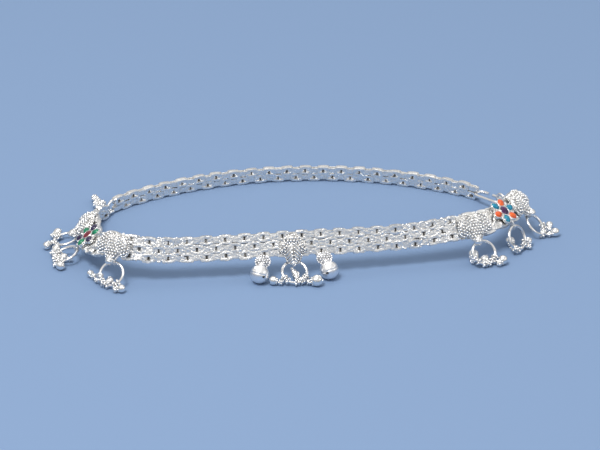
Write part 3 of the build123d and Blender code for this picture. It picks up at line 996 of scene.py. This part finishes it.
# %% [markdown]
# ## Bells
# A bell hangs at each side of the front leaf: a rosette of granules on the band's edge, a neck, and
# a hollow polished ball with a small slit low on its front. The ball is a sphere whose faces at the
# slit are removed before a solidify modifier gives its wall, so it is truly hollow.

# %% Bells
BELL_STATION = 8.1
BELL_SPLAY = 1.0
BELL_RADIUS = 2.5
BELL_WALL = 0.35
BELL_SWING = 26
ROSETTE = (4.3, 3.5, 1.0)
ROSETTE_DROP = 4.1
ROSETTE_GRANULE = 0.3
SLIT_TURN = 25

clear_selection()
bpy.ops.mesh.primitive_uv_sphere_add(segments=32, ring_count=18, radius=BELL_RADIUS)
bpy.ops.object.mode_set(mode="EDIT")
pick("EDGE", lambda p: abs(p.z) < 0.01)
bpy.ops.mesh.bevel(offset=0.07, segments=2)
pick("VERT", lambda p: abs(p.z) < 0.01)
stretch(0.975, 0.975, 1)
slit_way = Vector((0.0, 0.98, -0.2))
pick("FACE", lambda p: p.normalized().angle(slit_way) < radians(9))
bpy.ops.mesh.inset(thickness=0.1)
bpy.ops.mesh.delete(type="FACE")
clear_selection()
bell_ball = bpy.context.view_layer.objects.active
wall = bell_ball.modifiers.new("wall", "SOLIDIFY")
wall.thickness = BELL_WALL
wall.offset = -1
bell_ball.select_set(True)
bpy.ops.object.modifier_apply(modifier="wall")
bell_ball = master("bell_ball", angle=50)


def bell(name, station):
    """A finished bell."""
    width, height, thickness = ROSETTE
    rosette = face(station, up=-ROSETTE_DROP, out=HALF_BAND_DEPTH + GAP)
    top = face(station, up=-ROSETTE_DROP, out=HALF_BAND_DEPTH + GAP + thickness / 2).translation
    hang = hanging(station, top, BELL_SWING)
    splay = BELL_SPLAY if station > 0 else -BELL_SPLAY
    drop_down = (top.z - BELL_RADIUS) / cos(radians(BELL_SWING))
    centre = top - hang.col[1].xyz * drop_down + hang.col[0].xyz * splay
    upward, outward = (top - centre).normalized(), hang.col[2].xyz
    half_width, half_height, rising = width / 2 - 0.2, height / 2 - 0.2, thickness * 0.7
    # The rosette's dome under its granules is grey silver: painted shade between the granules.
    parts = [shade_under_granules(struck(dome, rosette, (half_width, half_height, rising)))]
    parts += edging(rosette, half_width, half_height, ROSETTE_GRANULE)
    parts += covering(rosette, half_width * 0.9, half_height * 0.9, rising, ROSETTE_GRANULE)
    turn = Matrix.Rotation(radians(-SLIT_TURN if station > 0 else SLIT_TURN), 4, "Z")
    parts.append(struck(bell_ball, axes(centre, outward.cross(upward), outward) @ turn))
    parts.append(laid_pin(centre + upward * (BELL_RADIUS - 0.2), top, 0.5))
    neck = aimed(centre + upward * (BELL_RADIUS + 0.02), upward)
    parts.append(struck(loop, neck, (1.15, 1.15, 1.4)))
    soldered(name + "_cast", parts, bell_silver, "bell_silver", name)


bell("left_bell", -BELL_STATION)
bell("right_bell", BELL_STATION)

# %% [markdown]
# ## Flowers
# Each flower is a silver setting of six cells round a seventh, each edged with a bright wire and
# filled with enamel, a dome that stands above its rim. The cells of the setting need steep
# sides and flat tops, so a dome's rings are widened one by one into a pillow. The rims are rings
# stretched to the cell's oval.

# %% Flowers
PETALS = 6
PETAL_CIRCLE = 2.65
PETAL_HALF = (1.0, 0.75)
RIM = 0.25
RIM_SPREAD = 0.27
CENTRE_RIM_SPREAD = 0.18
RIM_HEIGHT = 1.6
ENAMEL_SPREAD = 0.2
PETAL_RISE = 0.45
CENTRE_RISE = 0.5
FLOWER_PLATE = 0.9
CUP_DEPTH = 0.35
CENTRE_RADIUS = 1.25
ARM_WIRE = 0.25

clear_selection()
bpy.ops.mesh.primitive_torus_add(major_segments=28, minor_segments=8, major_radius=1, minor_radius=0.1)
rim = master("rim")

pillow = struck(dome, TO_METRES.inverted())
bpy.context.view_layer.objects.active = pillow
clear_selection()
bpy.ops.object.mode_set(mode="EDIT")
for ring, widening in ((15, 1.035), (30, 1.155), (45, 1.27), (60, 1.44), (75, 1.74)):
    pick("VERT", lambda p: abs(p.z - sin(radians(ring))) < 0.02)
    stretch(widening, widening, 1)
pillow = master("pillow")


def petal_places(place):
    """The places of the six petals, each with x outward along its petal."""
    for turn in around(PETALS):
        yield shifted(place @ Matrix.Rotation(turn, 4, "Z"), PETAL_CIRCLE)


def flower(side, station, petals, heart):
    """The setting and the enamels of a flower."""
    half_length, half_width = PETAL_HALF
    back = face(station, out=HALF_BAND_DEPTH + SIDE_STANDOFF)
    floor = shifted(back, z=FLOWER_PLATE - CUP_DEPTH)
    top = shifted(back, z=FLOWER_PLATE)
    parts = [struck(pillow, back, (PETAL_CIRCLE + 0.1, PETAL_CIRCLE + 0.1, FLOWER_PLATE - 0.1))]
    for place in petal_places(back):
        parts.append(struck(pillow, place, (half_length + RIM, half_width + RIM, FLOWER_PLATE - 0.2)))
    for place in petal_places(floor):
        oval_rim = (half_length + RIM_SPREAD, half_width + RIM_SPREAD, RIM_HEIGHT)
        parts.append(struck(rim, shifted(place, z=0.1), oval_rim))
    round_rim = CENTRE_RADIUS + CENTRE_RIM_SPREAD
    parts.append(struck(rim, top, (round_rim, round_rim, RIM_HEIGHT)))
    for turn in around(PETALS, 0.5):
        for reach, size in ((2.55, 0.26), (3.05, 0.32)):
            parts += granules([shifted(floor @ Matrix.Rotation(turn, 4, "Z"), reach, z=0.15)], size)
    arm_out = HALF_BAND_DEPTH + SIDE_STANDOFF + 0.8 * ARM_WIRE
    root = face(station, up=-PETAL_CIRCLE / 2, out=arm_out).translation
    tip = face(station, up=-BAIL_DROP + LOOP_RADIUS, out=arm_out).translation
    bail = bail_place(station, FLOWER_BAIL)
    parts.append(laid_pin(root, tip, ARM_WIRE))
    parts.append(laid_pin(tip, bail.translation + bail.col[2].xyz * LOOP_RADIUS, ARM_WIRE))
    parts += granules([aimed(tip, UP)], ARM_WIRE * 1.2)
    parts.append(bail_loop(bail))
    soldered(f"{side}_flower_setting", parts, leaf_silver, "leaf_silver", f"{side}_flower")
    for number, place in enumerate(petal_places(floor), 1):
        colour = petals[(number - 1) % 2]
        filling = (half_length + ENAMEL_SPREAD, half_width + ENAMEL_SPREAD, CUP_DEPTH + PETAL_RISE)
        petal = struck(dome, place, filling)
        node = f"{side}_petal_{number}"
        soldered(node + "_enamel", [petal], enamels[colour], colour, node)
    heart_radius = CENTRE_RADIUS + ENAMEL_SPREAD
    centre = struck(dome, floor, (heart_radius, heart_radius, CUP_DEPTH + CENTRE_RISE))
    soldered(f"{side}_centre_enamel", [centre], enamels[heart], heart, f"{side}_flower_centre")


flower("right", FLOWER_STATION, ("teal_enamel", "orange_enamel"), "violet_enamel")
flower("left", -FLOWER_STATION, ("purple_enamel", "green_enamel"), "red_enamel")

# %% [markdown]
# ## The tassel
# At the left end of the chain a ring carries a bunch of granulated balls on one wire.

# %% Tassel
TASSEL_BEADS = [
    (1.2, 2.3, 1.1, 1.0),
    (0.2, 3.8, 1.2, 1.2),
    (-1.5, 4.6, 1.1, 1.1),
    (-0.1, 5.7, 1.1, 1.1),
    (-1.7, 6.8, 1.2, 1.2),
    (-2.8, 8.4, 1.1, 1.1),
]
TASSEL_TURN = radians(50)
ROUGH_GRANULES = 22
GOLDEN_TURN = 2.39996


def rough_ball(place, before, radius):
    """A ball covered with granules."""
    parts = [struck(ball, aimed(place, before - place), (radius * 0.8,) * 3)]
    for number in range(ROUGH_GRANULES):
        height = 1 - 2 * (number + 0.5) / ROUGH_GRANULES
        turn = number * GOLDEN_TURN
        reach = sqrt(1 - height * height)
        out = Vector((reach * cos(turn), reach * sin(turn), height))
        parts += granules([aimed(place + out * radius * 0.72, out)], radius * 0.3)
    return parts


tassel_face = face(-TASSEL_STATION)
tassel_along, tassel_up = tassel_face.col[0].xyz, tassel_face.col[1].xyz
tassel_down = tassel_along * sin(TASSEL_TURN) - tassel_up * cos(TASSEL_TURN)
tassel_loop = tassel_face.translation + tassel_down * LINK_RING_RADIUS
tassel_out = tassel_face.col[2].xyz
tassel_parts = [struck(loop, axes(tassel_loop, tassel_down, tassel_out))]
tassel_places = [ground(-TASSEL_STATION, *row[:3]) for row in TASSEL_BEADS]
tassel_radii = [row[3] for row in TASSEL_BEADS]
tassel_parts += strung(tassel_places, tassel_radii, tassel_loop + tassel_out * LOOP_RADIUS, rough_ball)
soldered("tassel_bunch", tassel_parts, bead_silver, "bead_silver", "tassel")

# %% [markdown]
# ## Wire that stays as it is
# The jump rings, the two link rings and the hook are plain bent wire, and their shape in the frame
# is already the true one, so they only take the wire's finish.

# %% Plain wire
for node in ("hook", "eye_ring", "tassel_ring", "centre_ring") + tuple(
        f"{side}_{part}_ring" for side in ("right", "left") for part in ("inner", "flower", "outer")):
    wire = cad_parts[node]
    wire.data.materials.clear()
    wire.data.materials.append(wire_silver)
    print(node, "keeps its shape")

# %% [markdown]
# ## The floor, the room and the lights
# A pale floor holds the anklet's shadow. Polished metal shows the room more than its own colour, so
# the room is a soft gradient, white above and grey at the horizon, and broad soft lamps stand
# where a jeweller's photographer puts them.

# %% Floor and lights
FLOOR_CLEARANCE = 0.00005

clear_selection()
bpy.ops.mesh.primitive_plane_add(size=4, location=(0, 0, -FLOOR_CLEARANCE))
floor = bpy.context.object
floor.name = "floor"
bpy.ops.object.transform_apply(location=True)
floor_paint = bpy.data.materials.new("floor_paint")
floor_paint.use_nodes = True
paint = floor_paint.node_tree.nodes["Principled BSDF"]
paint.inputs["Base Color"].default_value = (0.20, 0.29, 0.45, 1)
paint.inputs["Roughness"].default_value = 0.9
paint.inputs["Specular IOR Level"].default_value = 0.1
floor.data.materials.append(floor_paint)


def lamp(name, place, size, power):
    """A square soft lamp that faces the anklet."""
    light = bpy.data.lights.new(name, "AREA")
    light.size = size
    light.energy = power
    holder = bpy.data.objects.new(name, light)
    holder.location = place
    holder.rotation_euler = Vector(place).to_track_quat("Z", "Y").to_euler()
    bpy.context.collection.objects.link(holder)


lamp("key", (-0.30, -0.35, 0.95), 0.35, 7)
lamp("fill", (0.75, -0.35, 0.45), 0.3, 0.6)
lamp("top", (0.05, 0.35, 0.85), 0.5, 1)
lamp("spark", (-0.25, -0.45, 0.95), 0.06, 0.5)

world = bpy.data.worlds.new("room")
bpy.context.scene.world = world
world.use_nodes = True
nodes, links = world.node_tree.nodes, world.node_tree.links
way = nodes.new("ShaderNodeTexCoord")
parts_of_way = nodes.new("ShaderNodeSeparateXYZ")
links.new(way.outputs["Generated"], parts_of_way.inputs["Vector"])
gradient = ramp(nodes, 0.0, (0.30, 0.32, 0.35), 0.4, (1.0, 1.0, 1.0))
links.new(parts_of_way.outputs["Z"], gradient.inputs["Fac"])
links.new(gradient.outputs["Color"], nodes["Background"].inputs["Color"])
nodes["Background"].inputs["Strength"].default_value = 0.7

bpy.context.scene.view_settings.view_transform = "Standard"

# %% [markdown]
# ## Clearing the bench
# The masters were only models to copy, so they are removed.

# %% Clearing up
for piece in masters:
    bpy.data.objects.remove(piece)
